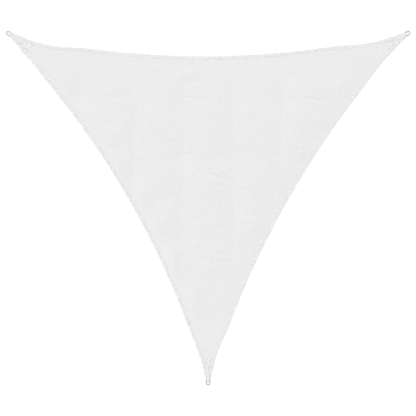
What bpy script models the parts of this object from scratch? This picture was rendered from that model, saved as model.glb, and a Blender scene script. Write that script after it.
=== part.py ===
"""Triangular shade sail with bowed-in edges, laid out flat and face up. Metres, +Z up.

One knitted panel has its edges folded into a flat hem. At each corner a second layer of cloth is sewn on as
a patch, and a webbing loop sewn over the tip holds a welded steel D-ring. The origin is on the ground under
the middle of the sail's outer box. +Y is the side of the top edge.
"""

import math
from collections import namedtuple

import bmesh
import bpy
from mathutils import Vector

# ---- Driving sizes ----------------------------------------------------------------------------------------
TOP_SPAN = 3.600  # between the centres of the two top rings
DROP = 3.150  # from the line of the top rings to the bottom ring
TIP_OVERRUN = 0.038  # from a ring's centre out to where the two edges of its tip would meet
LEAN_REACH = 0.280  # a tip that lies bent to one side is straight again this far in

HEM_WIDTH = 0.028
HEM_STEP = 0.003  # across the slope from the hem down to the panel
HEM_THICKNESS = 0.0022  # folded and pressed cloth
PANEL_THICKNESS = 0.0015  # single cloth
GAP = 0.0003  # between pieces that are sewn together
LATTICE = 66  # steps along each edge, a multiple of 3
FIRST_STEP = 0.25  # the step at a corner, as a share of a full one
STEP_GROWTH = 0.25  # what each step from a corner adds to that share

WEBBING_WIDTH = 0.025
WEBBING_THICKNESS = 0.0015
WIRE_RADIUS = 0.0025
RING_RADIUS = 0.016  # of the ring's bow, to the middle of the wire
RING_CORNER = 0.0035  # of the bends beside the bar, to the middle of the wire
BAR_X = 0.024  # from the ring's centre in to the bar that the webbing is folded round
TIP_END_X = 0.032  # from the ring's centre in to the cut end of the cloth
LOOP_END_X = 0.105  # from the ring's centre in to the ends of the webbing
PATCH_NOSE = 0.021  # from where the two hems part to the narrow end of the patch
PATCH_LENGTH = 0.133  # along its hems
PATCH_THICKNESS = 0.0012
PATCH_MARGIN = 0.0015  # between the patch and the hem

TIP_LIFT = WEBBING_THICKNESS + GAP  # the tip lies on the lower end of the webbing
TIP_FLAT = 0.330  # from the ring's centre, the part of the corner that is lifted level
TIP_RAMP = 0.620  # from the ring's centre, where the lifted corner has come down to the ground

# Each corner: where its ring lies, how far its tip is bent to the left, looking into the sail, and how far
# from the ring the panel's bulges and puckers reach their full height.
Corner = namedtuple("Corner", "name x y lean calm")
CORNERS = (
    Corner("left", -TOP_SPAN / 2, DROP / 2, 0.021, 0.620),
    Corner("bottom", 0.0, -DROP / 2, 0.0, 1.200),
    Corner("right", TOP_SPAN / 2, DROP / 2, 0.0, 0.620),
)

# Each edge runs anticlockwise from one corner to the next. Its sag is how far it is drawn in at its middle.
# Its necks are how much further it is drawn in near its ends, over their reaches. Its ease is how far inside
# it the panel's bulges reach their full height.
Edge = namedtuple("Edge", "start end sag start_neck start_reach end_neck end_reach ease")
EDGES = (
    Edge(0, 1, 0.2290, 0.0105, 0.67, 0.0110, 0.60, 0.100),
    Edge(1, 2, 0.2140, 0.0200, 0.60, 0.0150, 0.72, 0.360),
    Edge(2, 0, 0.2195, 0.0280, 0.74, 0.0255, 0.83, 0.480),
)

# The panel dips along the folds that it was packed in, and stands up in a low bulge from one to the next.
Bulge = namedtuple("Bulge", "start end rise")
BULGES_ACROSS = (  # between the upright folds, from x to x
    Bulge(-1.620, -1.161, 0.0048),
    Bulge(-1.161, -0.666, 0.0062),
    Bulge(-0.666, -0.225, 0.0048),
    Bulge(-0.225, 0.234, 0.0056),
    Bulge(0.234, 0.662, 0.0050),
    Bulge(0.662, 1.134, 0.0062),
    Bulge(1.134, 1.620, 0.0040),
)
BULGES_UP = (  # between the level folds, from y to y
    Bulge(-1.400, -0.648, 0.0020),
    Bulge(-0.648, -0.279, 0.0022),
    Bulge(-0.279, 0.081, 0.0013),
    Bulge(0.081, 0.450, 0.0030),
    Bulge(0.450, 0.981, 0.0035),
    Bulge(0.981, 1.420, 0.0020),
)

# Puckers, where the panel stands up beside a hem: which edge, how far along it, half length, how far inside
# the edge it is highest and where it has gone down again, and its height.
Pucker = namedtuple("Pucker", "edge along reach crest foot rise")
PUCKERS = (
    Pucker(0, 0.59, 0.20, 0.110, 0.400, 0.004),
    Pucker(0, 1.03, 0.24, 0.110, 0.400, 0.005),
    Pucker(0, 1.29, 0.14, 0.130, 0.400, 0.005),
    Pucker(0, 1.54, 0.16, 0.110, 0.400, 0.005),
    Pucker(0, 1.88, 0.18, 0.130, 0.400, 0.006),
    Pucker(0, 2.18, 0.20, 0.110, 0.400, 0.006),
    Pucker(0, 2.50, 0.22, 0.120, 0.400, 0.005),
    Pucker(0, 2.93, 0.20, 0.110, 0.330, 0.006),
    Pucker(1, 0.72, 0.11, 0.125, 0.350, 0.007),
    Pucker(1, 1.02, 0.10, 0.180, 0.400, 0.003),
    Pucker(1, 1.46, 0.13, 0.180, 0.400, 0.006),
    Pucker(1, 1.88, 0.10, 0.140, 0.400, 0.004),
    Pucker(1, 2.26, 0.12, 0.140, 0.400, 0.006),
    Pucker(1, 2.56, 0.11, 0.150, 0.400, 0.0045),
    Pucker(1, 2.92, 0.11, 0.180, 0.400, 0.005),
)

COLLECTION = "shade_sail"
HALVINGS = 40  # of a search between two points of an edge
SHARP_DEGREES = 40  # edges that bend more than this are shaded sharp


# ---- Outline ----------------------------------------------------------------------------------------------
def middle_of_sail():
    return sum((Vector((c.x, c.y)) for c in CORNERS), Vector((0.0, 0.0))) / len(CORNERS)


def inward_at(corner):
    """The direction from a corner's ring to the middle of the sail."""
    return (middle_of_sail() - Vector((corner.x, corner.y))).normalized()


def side_at(corner):
    """The direction across a corner's tip, to its left looking in."""
    inward = inward_at(corner)
    return Vector((-inward.y, inward.x))


def straight_ring(corner):
    """Where the ring would lie if the tip weren't bent to one side."""
    return Vector((corner.x, corner.y)) - side_at(corner) * corner.lean


def apex(corner):
    """Where the two edges of a straight tip meet, outside its ring."""
    return straight_ring(corner) - inward_at(corner) * TIP_OVERRUN


def drawn_in(edge, length, along):
    """How far an edge lies inside the straight line between its apexes."""
    share = along / length
    total = 4 * edge.sag * share * (1 - share)
    if along < edge.start_reach:
        total += edge.start_neck * math.sin(math.pi * along / edge.start_reach) ** 2
    if length - along < edge.end_reach:
        total += edge.end_neck * math.sin(math.pi * (length - along) / edge.end_reach) ** 2
    return total


def edge_frame(edge):
    """An edge's start, direction, inward direction and length."""
    start = apex(CORNERS[edge.start])
    span = apex(CORNERS[edge.end]) - start
    direction = span.normalized()
    return start, direction, Vector((-direction.y, direction.x)), span.length


def edge_slope(edge, length, along):
    step = 0.001
    return (drawn_in(edge, length, along + step) - drawn_in(edge, length, along - step)) / (2 * step)


def edge_point(edge, along, inset):
    """The point at this inset, square to the edge, from the edge's point at this distance along it."""
    start, direction, inward, length = edge_frame(edge)
    normal = (inward - direction * edge_slope(edge, length, along)).normalized()
    return start + direction * along + inward * drawn_in(edge, length, along) + normal * inset


def inset_from(edge, point):
    """How far a point lies inside an edge."""
    start, direction, inward, length = edge_frame(edge)
    along = (point - start).dot(direction)
    below = (point - start).dot(inward) - drawn_in(edge, length, along)
    return below * math.cos(math.atan(edge_slope(edge, length, along)))


def corner_along(edge, at_start, inset):
    """How far along an edge its inset line meets the same inset line of its neighbour at one end."""
    length = edge_frame(edge)[3]
    corner = edge.start if at_start else edge.end
    neighbour = next(e for e in EDGES if e is not edge and corner in (e.start, e.end))
    near, far = 0.0, 0.6 * length  # a little past the middle, where the deepest inset lines meet
    for _ in range(HALVINGS):
        trial = (near + far) / 2
        along = trial if at_start else length - trial
        if inset_from(neighbour, edge_point(edge, along, inset)) < inset:
            near = trial
        else:
            far = trial
    return near if at_start else length - near


def inset_corner(index, inset):
    """Where the inset lines of a corner's two edges meet."""
    leaving = next(e for e in EDGES if e.start == index)
    return edge_point(leaving, corner_along(leaving, True, inset), inset)


def graded_shares(steps):
    """Shares of a side from 0 to 1, in steps that are shorter near its corners."""
    sizes = [min(1.0, FIRST_STEP + STEP_GROWTH * min(i, steps - 1 - i)) for i in range(steps)]
    return [sum(sizes[:i]) / sum(sizes) for i in range(steps + 1)]


def inset_side(edge, inset, steps):
    """Points of an edge's inset line, from corner to corner."""
    first = corner_along(edge, True, inset)
    last = corner_along(edge, False, inset)
    shares = graded_shares(steps)
    points = [edge_point(edge, first + (last - first) * share, inset) for share in shares]
    start_miss = inset_corner(edge.start, inset) - points[0]
    end_miss = inset_corner(edge.end, inset) - points[-1]
    return [p + start_miss * (1 - share) + end_miss * share for p, share in zip(points, shares)]


def leaned(point):
    """A point of the straight sail, moved with the tips that lie bent to one side."""
    moved = point.copy()
    for corner in CORNERS:
        share = (point - straight_ring(corner)).length / LEAN_REACH
        if share < 1:
            moved += side_at(corner) * corner.lean * math.cos(math.pi / 2 * share) ** 2
    return moved


def tip_direction(corner):
    """The direction in along a tip as it lies, from its ring."""
    inner = leaned(straight_ring(corner) + inward_at(corner) * LOOP_END_X)
    return (inner - Vector((corner.x, corner.y))).normalized()


# ---- Relief -----------------------------------------------------------------------------------------------
def smooth_step(value, low, high):
    share = min(max((value - low) / (high - low), 0.0), 1.0)
    return share * share * (3 - 2 * share)


def bulge_height(bulges, place):
    """The height of the bulge that a place lies in, nothing outside them all."""
    for bulge in bulges:
        share = (place - bulge.start) / (bulge.end - bulge.start)
        if 0 <= share <= 1:
            return 4 * bulge.rise * share * (1 - share)
    return 0.0


def pucker_height(pucker, point):
    """The height of one pucker, drawn out along its hem and sloping down into the panel."""
    edge = EDGES[pucker.edge]
    start, direction = edge_frame(edge)[:2]
    share = ((point - start).dot(direction) - pucker.along) / pucker.reach
    if abs(share) >= 1:
        return 0.0
    inset = inset_from(edge, point)
    up = smooth_step(inset, HEM_WIDTH + HEM_STEP, pucker.crest)
    down = smooth_step(inset, pucker.crest, pucker.foot)
    return pucker.rise * (1 - share**2) ** 2 * up * (1 - down)


def ground_clearance(point):
    """How high the underside of the cloth is above the ground."""
    from_rings = [(point - Vector((corner.x, corner.y))).length for corner in CORNERS]
    lift = TIP_LIFT * (1 - smooth_step(min(from_rings), TIP_FLAT, TIP_RAMP))
    bulges = bulge_height(BULGES_ACROSS, point.x) + bulge_height(BULGES_UP, point.y)
    for edge in EDGES:
        bulges *= smooth_step(inset_from(edge, point), HEM_WIDTH + HEM_STEP, edge.ease)
    relief = bulges + sum(pucker_height(pucker, point) for pucker in PUCKERS)
    for corner, from_ring in zip(CORNERS, from_rings):
        relief *= smooth_step(from_ring, TIP_FLAT, corner.calm)
    return lift + relief


# ---- Making objects ---------------------------------------------------------------------------------------
def clear_scene():
    for old in list(bpy.data.objects):
        bpy.data.objects.remove(old, do_unlink=True)


def make_material(name, colour, roughness, metallic):
    material = bpy.data.materials.new(name)
    material.use_nodes = True
    shader = material.node_tree.nodes["Principled BSDF"]
    shader.inputs["Base Color"].default_value = (*colour, 1.0)
    shader.inputs["Roughness"].default_value = roughness
    shader.inputs["Metallic"].default_value = metallic
    return material


def add_object(name, data, collection, parent, material):
    obj = bpy.data.objects.new(name, data)
    collection.objects.link(obj)
    obj.parent = parent
    data.materials.append(material)
    return obj


def mesh_from(name, bm, smooth=False):
    mesh = bpy.data.meshes.new(name)
    bm.to_mesh(mesh)
    bm.free()
    if smooth:
        mesh.shade_smooth()
        mesh.set_sharp_from_angle(angle=math.radians(SHARP_DEGREES))
    return mesh


def add_thickness(obj, thickness, offset):
    solid = obj.modifiers.new("thickness", "SOLIDIFY")
    solid.thickness = thickness
    solid.offset = offset
    return solid


# ---- Cloth ------------------------------------------------------------------------------------------------
def row_insets():
    """The inset of each ring of the lattice, from the edge to the middle: the hem first, then even steps."""
    rows = LATTICE // 3
    panel_edge = HEM_WIDTH + HEM_STEP
    deepest = min(inset_from(edge, middle_of_sail()) for edge in EDGES)
    even = [panel_edge + (deepest - panel_edge) * i / (rows - 2) for i in range(rows - 1)]
    return [0.0, HEM_WIDTH] + even


def lattice_points():
    """Where each lattice point (steps from edge 0, 1 and 2) lies in plan, and its inset."""
    places = {}
    for row, inset in enumerate(row_insets()[:-1]):
        steps = LATTICE - 3 * row
        for number, edge in enumerate(EDGES):
            for i, point in enumerate(inset_side(edge, inset, steps)):
                key = [0, 0, 0]
                key[number] = row
                key[(number + 2) % 3] = row + i
                key[(number + 1) % 3] = row + steps - i
                places[tuple(key)] = (leaned(point), inset)
    places[(LATTICE // 3,) * 3] = (middle_of_sail(), row_insets()[-1])
    return places


def triangle_lattice():
    """One triangle cut into an even lattice, its points' x and y being their shares of two corners."""
    bm = bmesh.new()
    bm.faces.new([bm.verts.new(place) for place in ((0, 0, 0), (1, 0, 0), (0, 1, 0))])
    bmesh.ops.subdivide_edges(bm, edges=bm.edges[:], cuts=LATTICE - 1, use_grid_fill=True)
    return bm


def build_cloth(collection, parent, material):
    """The panel and its hem, one sheet: the points of the hem carry the thickness of the folded cloth."""
    places = lattice_points()
    bm = triangle_lattice()
    layer = bm.verts.layers.deform.verify()
    for vert in bm.verts:
        second, third = round(vert.co.x * LATTICE), round(vert.co.y * LATTICE)
        plan, inset = places[(second, third, LATTICE - second - third)]
        vert.co = (*plan, ground_clearance(plan))
        vert[layer][0] = 1.0 if inset <= HEM_WIDTH else 0.0
    for corner in CORNERS:
        inward = tip_direction(corner)
        cut = Vector((corner.x, corner.y)) + inward * TIP_END_X
        whole = bm.verts[:] + bm.edges[:] + bm.faces[:]
        bmesh.ops.bisect_plane(bm, geom=whole, plane_co=(*cut, 0), plane_no=(*-inward, 0), clear_outer=True)
    bmesh.ops.triangulate(bm, faces=bm.faces[:])
    cloth = add_object("sail_cloth", mesh_from("sail_cloth", bm, smooth=True), collection, parent, material)
    cloth.vertex_groups.new(name="hem")
    solid = add_thickness(cloth, HEM_THICKNESS, 1.0)
    solid.vertex_group = "hem"
    solid.thickness_vertex_group = PANEL_THICKNESS / HEM_THICKNESS
    return cloth


# ---- Corner pieces ----------------------------------------------------------------------------------------
def build_patch(index, collection, parent, material):
    """A second layer of cloth between the two hems of a corner, its wide end straight across."""
    leaving = next(e for e in EDGES if e.start == index)
    arriving = next(e for e in EDGES if e.end == index)
    inset = HEM_WIDTH + HEM_STEP + PATCH_MARGIN
    bm = bmesh.new()
    bmesh.ops.create_grid(bm, x_segments=8, y_segments=6, size=0.5)
    for vert in bm.verts:
        reach = PATCH_NOSE + PATCH_LENGTH * (vert.co.x + 0.5)
        one = edge_point(leaving, corner_along(leaving, True, inset) + reach, inset)
        other = edge_point(arriving, corner_along(arriving, False, inset) - reach, inset)
        plan = leaned(one.lerp(other, vert.co.y + 0.5))
        vert.co = (*plan, TIP_LIFT + PANEL_THICKNESS + GAP)
    bmesh.ops.recalc_face_normals(bm, faces=bm.faces[:])
    name = f"corner_patch_{CORNERS[index].name}"
    patch = add_object(name, mesh_from(name, bm), collection, parent, material)
    add_thickness(patch, PATCH_THICKNESS, 1.0)
    return patch


def loop_profile():
    """The webbing seen from the side: along the top of the tip, round the bar and back underneath."""
    middle = WEBBING_THICKNESS / 2
    bend = WIRE_RADIUS + GAP + middle
    bar_z = middle + bend
    top_z = TIP_LIFT + HEM_THICKNESS + GAP + middle
    points = [(LOOP_END_X, top_z), (TIP_END_X + 0.020, top_z), (TIP_END_X - 0.001, top_z)]
    first, last, steps = 22, -180, 14  # degrees from straight up, towards the sail
    for i in range(steps + 1):
        angle = math.radians(first + (last - first) * i / steps)
        points.append((BAR_X + bend * math.sin(angle), bar_z + bend * math.cos(angle)))
    return points + [(TIP_END_X + 0.020, middle), (LOOP_END_X, middle)]


def build_loop(corner, collection, parent, material):
    """A strip of webbing, in its corner's own frame: X runs in from the ring's centre."""
    bm = bmesh.new()
    points = [bm.verts.new((x, -WEBBING_WIDTH / 2, z)) for x, z in loop_profile()]
    edges = [bm.edges.new(pair) for pair in zip(points, points[1:])]
    swept = bmesh.ops.extrude_edge_only(bm, edges=edges)["geom"]
    moved = [part for part in swept if isinstance(part, bmesh.types.BMVert)]
    bmesh.ops.translate(bm, verts=moved, vec=(0, WEBBING_WIDTH, 0))
    name = f"ring_loop_{corner.name}"
    loop = add_object(name, mesh_from(name, bm, smooth=True), collection, parent, material)
    add_thickness(loop, WEBBING_THICKNESS, 0.0).use_even_offset = True
    return loop


def arc(centre_x, centre_y, radius, first, last, steps):
    """Points of an arc, its angles in degrees from +X."""
    for i in range(steps + 1):
        angle = math.radians(first + (last - first) * i / steps)
        yield centre_x + radius * math.cos(angle), centre_y + radius * math.sin(angle)


def ring_outline():
    """The middle of the ring's wire: a half-round bow, two legs and a straight bar with bent corners."""
    bend_x = BAR_X - RING_CORNER
    bend_y = RING_RADIUS - RING_CORNER
    yield from arc(0, 0, RING_RADIUS, 90, 270, 18)
    yield from arc(bend_x, -bend_y, RING_CORNER, -90, 0, 4)
    yield from arc(bend_x, bend_y, RING_CORNER, 0, 90, 4)


def build_ring(corner, collection, parent, material):
    """A welded ring of round wire, its bar up in the webbing and its bow down on the ground."""
    bar_z = WEBBING_THICKNESS + GAP + WIRE_RADIUS
    drop = math.asin((bar_z - WIRE_RADIUS) / (BAR_X + RING_RADIUS))
    name = f"d_ring_{corner.name}"
    curve = bpy.data.curves.new(name, "CURVE")
    curve.dimensions = "3D"
    curve.bevel_depth = WIRE_RADIUS
    curve.bevel_resolution = 2
    spline = curve.splines.new("POLY")
    outline = list(ring_outline())
    spline.points.add(len(outline) - 1)
    for point, (x, y) in zip(spline.points, outline):
        point.co = (x - BAR_X, y, 0, 1)
    spline.use_cyclic_u = True
    ring = add_object(name, curve, collection, parent, material)
    ring.location = (BAR_X, 0, bar_z)
    ring.rotation_euler.y = -drop
    return ring


def corner_frame(corner, collection, parent):
    """An empty at a ring's centre, its X along the tip towards the sail."""
    empty = bpy.data.objects.new(f"corner_{corner.name}", None)
    collection.objects.link(empty)
    empty.parent = parent
    inward = tip_direction(corner)
    empty.location = (corner.x, corner.y, 0)
    empty.rotation_euler.z = math.atan2(inward.y, inward.x)
    return empty


def main():
    clear_scene()
    collection = bpy.data.collections.new(COLLECTION)
    bpy.context.scene.collection.children.link(collection)
    sail = bpy.data.objects.new("sail_frame", None)
    collection.objects.link(sail)
    cloth = make_material("white_knit", (0.84, 0.84, 0.84), 0.85, 0.0)
    webbing = make_material("white_webbing", (0.80, 0.80, 0.80), 0.75, 0.0)
    steel = make_material("steel", (0.62, 0.62, 0.62), 0.30, 1.0)
    build_cloth(collection, sail, cloth)
    for index, corner in enumerate(CORNERS):
        frame = corner_frame(corner, collection, sail)
        build_patch(index, collection, sail, cloth)
        build_loop(corner, collection, frame, webbing)
        build_ring(corner, collection, frame, steel)


main()
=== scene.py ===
"""Looks of a triangular shade sail: knitted cloth, hems, stitching, patches, webbing loops and rings.

Everything is in metres in the part's own frame: +Z up, +Y towards the top edge, the ground at z = 0.
"""

import math
from collections import namedtuple

import bmesh
import bpy
import numpy as np
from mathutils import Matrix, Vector, noise


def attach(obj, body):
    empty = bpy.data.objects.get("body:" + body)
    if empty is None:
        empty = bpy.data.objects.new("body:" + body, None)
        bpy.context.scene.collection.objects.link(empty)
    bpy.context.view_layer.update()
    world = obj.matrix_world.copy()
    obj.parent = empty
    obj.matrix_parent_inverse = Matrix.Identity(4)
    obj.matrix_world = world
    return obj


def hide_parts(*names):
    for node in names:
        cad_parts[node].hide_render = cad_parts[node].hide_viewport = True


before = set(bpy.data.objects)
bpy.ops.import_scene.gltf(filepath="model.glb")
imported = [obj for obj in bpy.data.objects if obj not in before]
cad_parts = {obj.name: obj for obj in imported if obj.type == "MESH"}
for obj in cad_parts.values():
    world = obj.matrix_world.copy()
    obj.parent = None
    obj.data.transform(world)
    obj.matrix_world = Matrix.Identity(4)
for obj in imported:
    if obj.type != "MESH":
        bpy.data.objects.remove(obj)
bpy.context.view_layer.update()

# ---- Sizes of the solids ----
TOP_SPAN = 3.600  # between the centres of the two top rings
DROP = 3.150  # from the line of the top rings to the bottom ring
TIP_OVERRUN = 0.038  # from a ring's centre out to where the two edges of its tip would meet
LEAN_REACH = 0.280  # a tip that lies bent to one side is straight again this far in
HEM_WIDTH = 0.028
HEM_STEP = 0.003  # the slope from the hem down to the panel
PANEL_INSET = HEM_WIDTH + HEM_STEP  # from the edge to where the panel begins
PANEL_THICKNESS = 0.0015
GAP = 0.0003  # between pieces that are sewn together
WEBBING_WIDTH = 0.025
WEBBING_THICKNESS = 0.0015
WIRE_RADIUS = 0.0025
RING_RADIUS = 0.016  # of the ring's bow, to the middle of the wire
RING_CORNER = 0.0035  # of the bends beside the bar
PATCH_NOSE = 0.021  # from where the two hems part to the narrow end of the patch
PATCH_LENGTH = 0.133
PATCH_THICKNESS = 0.0012
HEM_THICKNESS = 0.0022
TIP_LIFT = WEBBING_THICKNESS + GAP  # the tip lies on the lower end of the webbing

# From a ring's centre in along its tip, to:
BAR_X = 0.024  # the ring's bar
TIP_END_X = 0.032  # the cut end of the cloth
LOOP_END_X = 0.105  # the ends of the webbing
TIP_FLAT = 0.330  # the end of the part that is lifted level
TIP_RAMP = 0.620  # where the lifted corner has come down to the ground
BEYOND_PATCH = (0.27, 0.36)  # where the gathers begin, and where they have their full height

# Each corner: where its ring lies, how far its tip is bent to the left, looking in, and how far from the
# ring the panel's relief reaches its full height.
Corner = namedtuple("Corner", "name x y lean calm")
CORNERS = (
    Corner("left", -TOP_SPAN / 2, DROP / 2, 0.021, 0.620),
    Corner("bottom", 0.0, -DROP / 2, 0.0, 1.200),
    Corner("right", TOP_SPAN / 2, DROP / 2, 0.0, 0.620),
)

# Each edge runs anticlockwise from the corner of its own number to the next, drawn in by its sag at its
# middle and by its necks near its ends. Its ease is how far inside it the bulges reach their full height.
Edge = namedtuple("Edge", "name start end sag start_neck start_reach end_neck end_reach ease")
EDGES = (
    Edge("left", 0, 1, 0.2290, 0.0105, 0.67, 0.0110, 0.60, 0.100),
    Edge("right", 1, 2, 0.2140, 0.0200, 0.60, 0.0150, 0.72, 0.360),
    Edge("top", 2, 0, 0.2195, 0.0280, 0.74, 0.0255, 0.83, 0.480),
)

# The panel dips along the folds that it was packed in, and stands up in a low bulge from one to the next.
BULGES_ACROSS = (  # between the upright folds: from x, to x, height
    (-1.620, -1.161, 0.0048),
    (-1.161, -0.666, 0.0062),
    (-0.666, -0.225, 0.0048),
    (-0.225, 0.234, 0.0056),
    (0.234, 0.662, 0.0050),
    (0.662, 1.134, 0.0062),
    (1.134, 1.620, 0.0040),
)
BULGES_UP = (  # between the level folds: from y, to y, height
    (-1.400, -0.648, 0.0020),
    (-0.648, -0.279, 0.0022),
    (-0.279, 0.081, 0.0013),
    (0.081, 0.450, 0.0030),
    (0.450, 0.981, 0.0035),
    (0.981, 1.420, 0.0020),
)

# Puckers, where the panel stands up beside a hem: which edge, how far along it, half length, how far inside
# the edge it is highest and where it has gone down again, and its height.
PUCKERS = (
    (0, 0.59, 0.20, 0.110, 0.400, 0.004),
    (0, 1.03, 0.24, 0.110, 0.400, 0.005),
    (0, 1.29, 0.14, 0.130, 0.400, 0.005),
    (0, 1.54, 0.16, 0.110, 0.400, 0.005),
    (0, 1.88, 0.18, 0.130, 0.400, 0.006),
    (0, 2.18, 0.20, 0.110, 0.400, 0.006),
    (0, 2.50, 0.22, 0.120, 0.400, 0.005),
    (0, 2.93, 0.20, 0.110, 0.330, 0.006),
    (1, 0.72, 0.11, 0.125, 0.350, 0.007),
    (1, 1.02, 0.10, 0.180, 0.400, 0.003),
    (1, 1.46, 0.13, 0.180, 0.400, 0.006),
    (1, 1.88, 0.10, 0.140, 0.400, 0.004),
    (1, 2.26, 0.12, 0.140, 0.400, 0.006),
    (1, 2.56, 0.11, 0.150, 0.400, 0.0045),
    (1, 2.92, 0.11, 0.180, 0.400, 0.005),
)

# ---- Finer relief of the cloth ----
FOLD_BLUNT = 0.008  # the cloth bends round along a packing fold, this far to either side of it
# Creases, as troughs in the panel, or a ridge where the depth is negative: middle, half length, half width,
# degrees from +X, bow, and depth.
CREASES = (
    # the strongest, side by side in the middle of the panel
    (0.063, 0.279, 0.210, 0.024, -21, 0.006, 0.0055),
    (0.189, 0.275, 0.125, 0.020, -22, -0.004, 0.0050),
    (0.126, 0.189, 0.170, 0.022, -22, 0.006, 0.0032),
    (-0.180, 0.315, 0.070, 0.020, -20, 0.000, 0.0028),
    (-0.063, 0.207, 0.090, 0.020, -8, 0.000, 0.0028),
    # below the left part of the top edge
    (-0.837, 0.990, 0.170, 0.022, -5, 0.008, 0.0030),
    (-0.522, 1.026, 0.140, 0.022, -20, 0.006, 0.0024),
    (-0.162, 0.985, 0.200, 0.022, -8, 0.008, 0.0026),
    (-1.020, 1.085, 0.150, 0.024, -26, 0.006, 0.0030),
    (-0.190, 1.192, 0.110, 0.065, 0, 0.010, -0.0060),
    # left of the middle
    (-0.387, 0.616, 0.190, 0.022, -24, 0.006, 0.0040),
    (-0.216, 0.482, 0.085, 0.026, -3, 0.000, 0.0038),
    (-0.640, 0.520, 0.110, 0.022, -44, -0.006, 0.0020),
    (-0.860, 0.760, 0.100, 0.026, -35, 0.000, 0.0024),
    # right of the middle
    (0.018, 0.864, 0.100, 0.018, -40, 0.006, 0.0036),
    (0.360, 0.684, 0.075, 0.022, -5, 0.000, 0.0025),
    (0.639, 0.729, 0.130, 0.020, -22, 0.006, 0.0030),
    (0.612, 0.594, 0.150, 0.022, -23, 0.006, 0.0038),
    (0.945, 0.972, 0.130, 0.030, -10, 0.006, 0.0040),
    (1.010, 1.120, 0.160, 0.024, -24, 0.008, 0.0036),
    (1.180, 1.240, 0.130, 0.024, -35, 0.006, 0.0020),
    (0.414, -0.081, 0.100, 0.024, -5, 0.006, 0.0030),
    # towards the bottom
    (-0.108, -0.378, 0.110, 0.020, -12, 0.012, 0.0028),
    (-0.045, -0.486, 0.140, 0.022, -24, 0.006, 0.0036),
    (0.126, -0.486, 0.110, 0.022, -10, 0.004, 0.0030),
    (0.108, -0.414, 0.100, 0.020, -8, 0.004, 0.0024),
    (-0.261, -0.531, 0.110, 0.045, 86, 0.006, 0.0040),
    (0.036, -0.585, 0.055, 0.026, -35, 0.000, 0.0040),
    (0.126, -0.639, 0.055, 0.022, -20, 0.000, 0.0028),
    (0.010, -0.900, 0.090, 0.024, -30, 0.006, 0.0024),
)
# The general unevenness: the wavelength and height of each size of dimple, and how they are drawn out.
MOTTLE = ((0.210, 0.0009), (0.092, 0.0010), (0.047, 0.0009))
MOTTLE_TURN = -18  # degrees from +X
MOTTLE_STRETCH = 1.7
SOFT_FLOOR = 0.001  # creases that would reach the ground level out this far above it
LOOSE_AT = 0.140  # from the edge, where the creases reach their full depth
GATHER_PITCH = 0.046  # of the small gathers beside the seam
GATHER_RISE = 0.0016
GATHER_REACH = 0.045  # into the panel
GATHER_START = 0.012  # from the seam, where the gathers have their full height
HEM_RIPPLE = 0.0024
FOLD_TOP = (0.0014, 0.0021)  # heights on the hem's fold, where its ripple begins and is full
EDGE_WAVE = 0.0006  # the folded edge wanders sideways by this much
EDGE_WAVE_PITCH = 0.17

PANEL_STEPS = 300  # along each edge, a multiple of 3
PANEL_RIM = 0.004  # the panel's own rim lies in the fold of the hem
HEM_STEPS = 620
SEAM_INSET = 0.0262  # the row of stitches that holds the hem
SECOND_SEAM_INSET = 0.0125
SEAM_SINK = 0.0005  # how deep a row of stitches pulls the cloth in
SEAM_GROOVE = 0.0016  # half the width of that dip
HALVINGS = 40  # of the span in which two inset lines meet

# ---- Threads, webbing and steel ----
STITCH_LENGTH = 0.0052
STITCH_GAP = 0.0012
THREAD_RADIUS = 0.00042
THREAD_LIFT = 0.4  # in thread radii, of a stitch above the cloth
CLEAR_OF_LOOP = 0.002  # between the webbing and the first stitches of a hem
LOOP_STITCH = 0.0038
LOOP_STITCH_GAP = 0.0009

# ---- Picture ----
PICTURE_WIDTH = 3.744  # of the ground seen across the picture
LENS_MM = 100.0
SENSOR_MM = 36.0
FLOOR_SIZE = 60.0
FLOOR_DROP = 0.0004  # the floor lies this far under the cloth


# ---- Outline ----
def ring_place(corner):
    return np.array([corner.x, corner.y])


MIDDLE = sum(ring_place(corner) for corner in CORNERS) / len(CORNERS)


def unit(vectors):
    return vectors / np.linalg.norm(vectors, axis=-1, keepdims=True)


def left_of(directions):
    return np.stack([-directions[..., 1], directions[..., 0]], axis=-1)


def inward_at(corner):
    """The direction from a corner's ring to the middle of the sail."""
    return unit(MIDDLE - ring_place(corner))


def side_at(corner):
    """The direction across a corner's tip, to its left looking in."""
    return left_of(inward_at(corner))


def straight_ring(corner):
    """Where the ring would lie if the tip weren't bent to one side."""
    return ring_place(corner) - side_at(corner) * corner.lean


def edge_frame(edge):
    """An edge's start, direction, inward direction and length, between where its tips would meet."""
    start, end = [
        straight_ring(CORNERS[i]) - inward_at(CORNERS[i]) * TIP_OVERRUN for i in (edge.start, edge.end)
    ]
    direction = unit(end - start)
    return start, direction, left_of(direction), np.linalg.norm(end - start)


def drawn_in(edge, length, along):
    """How far an edge lies inside the straight line between its apexes."""
    share = along / length
    total = 4 * edge.sag * share * (1 - share)
    near_start = np.sin(np.pi * np.minimum(along / edge.start_reach, 1)) ** 2
    near_end = np.sin(np.pi * np.minimum((length - along) / edge.end_reach, 1)) ** 2
    return total + edge.start_neck * near_start + edge.end_neck * near_end


def edge_slope(edge, length, along):
    step = 0.001
    return (drawn_in(edge, length, along + step) - drawn_in(edge, length, along - step)) / (2 * step)


def edge_point(edge, along, inset):
    """Points at these insets, square to the edge, from its points at these distances along it."""
    start, direction, inward, length = edge_frame(edge)
    along, inset = np.broadcast_arrays(along, inset)
    slope = edge_slope(edge, length, along)[..., None]
    normal = (inward - direction * slope) / np.sqrt(1 + slope**2)
    in_line = start + direction * along[..., None]
    return in_line + inward * drawn_in(edge, length, along)[..., None] + normal * inset[..., None]


def inset_from(edge, points):
    """How far points lie inside an edge."""
    start, direction, inward, length = edge_frame(edge)
    along = (points - start) @ direction
    below = (points - start) @ inward - drawn_in(edge, length, along)
    return below * np.cos(np.arctan(edge_slope(edge, length, along)))


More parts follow.
